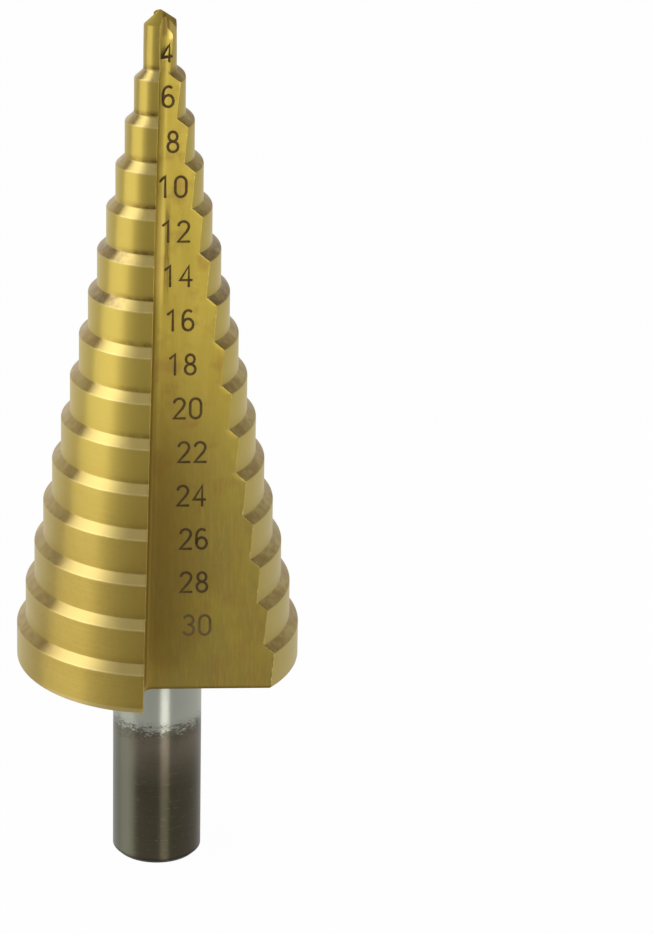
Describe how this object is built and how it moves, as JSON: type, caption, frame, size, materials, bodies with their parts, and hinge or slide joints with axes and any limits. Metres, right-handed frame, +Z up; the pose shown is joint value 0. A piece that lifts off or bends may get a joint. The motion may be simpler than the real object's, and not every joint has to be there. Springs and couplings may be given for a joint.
{
  "type": "step drill",
  "caption": "Conical stepped drill bit with straight flutes, relieved lands, a split point and a plain round shank.",
  "frame": {"origin": "centre of the shank's end face", "axes": "+Z up the drill's axis from the shank's end to the point, -Y the side with the numbered flute, whose cutting face looks along +X"},
  "size_m": [0.0316, 0.032, 0.1014],
  "materials": {
    "coated_steel": "satin gold nitride coating over ground high speed steel, with the shank left bare and heat-darkened below a bright ring"
  },
  "bodies": {
    "root": {"step_drill": "coated_steel"}
  },
  "joints": []
}
